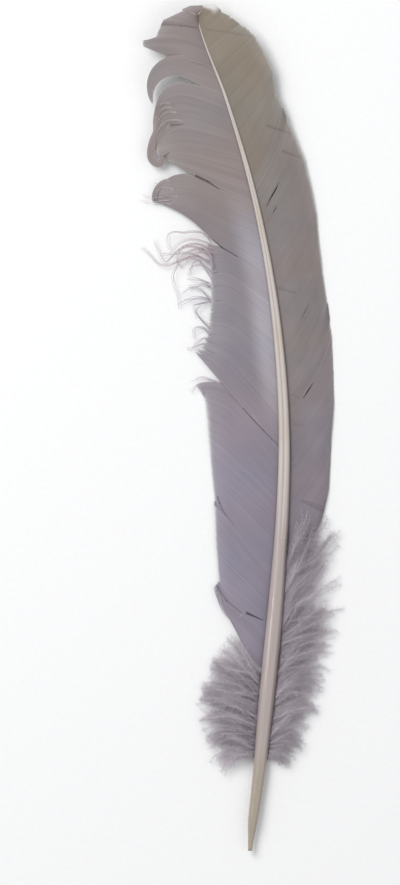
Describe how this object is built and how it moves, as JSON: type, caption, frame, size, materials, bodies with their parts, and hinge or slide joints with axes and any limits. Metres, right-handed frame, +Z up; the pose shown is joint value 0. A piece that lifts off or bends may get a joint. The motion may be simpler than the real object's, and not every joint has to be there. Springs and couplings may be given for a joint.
{
  "type": "goose quill feather",
  "caption": "Goose quill feather lying under side up, with a grooved shaft, a torn wide vane, a narrow vane, base down and a bare quill.",
  "frame": {"origin": "bottom centre of the feather's box, on the table that it lies on", "axes": "+Y towards the feather's tip, +X towards the narrow vane, +Z up from the table, out of the feather's under side"},
  "size_m": [0.0694, 0.305, 0.0098],
  "materials": {
    "horn": "satin feather horn, cream",
    "wide_vane": "dyed feather barbs, lavender grey",
    "narrow_vane": "dyed feather barbs, warm grey",
    "down": "dyed down, lavender grey"
  },
  "bodies": {
    "root": {"shaft": "horn", "left_vane": "wide_vane", "right_vane": "narrow_vane", "left_down": "down", "right_down": "down"}
  },
  "joints": []
}
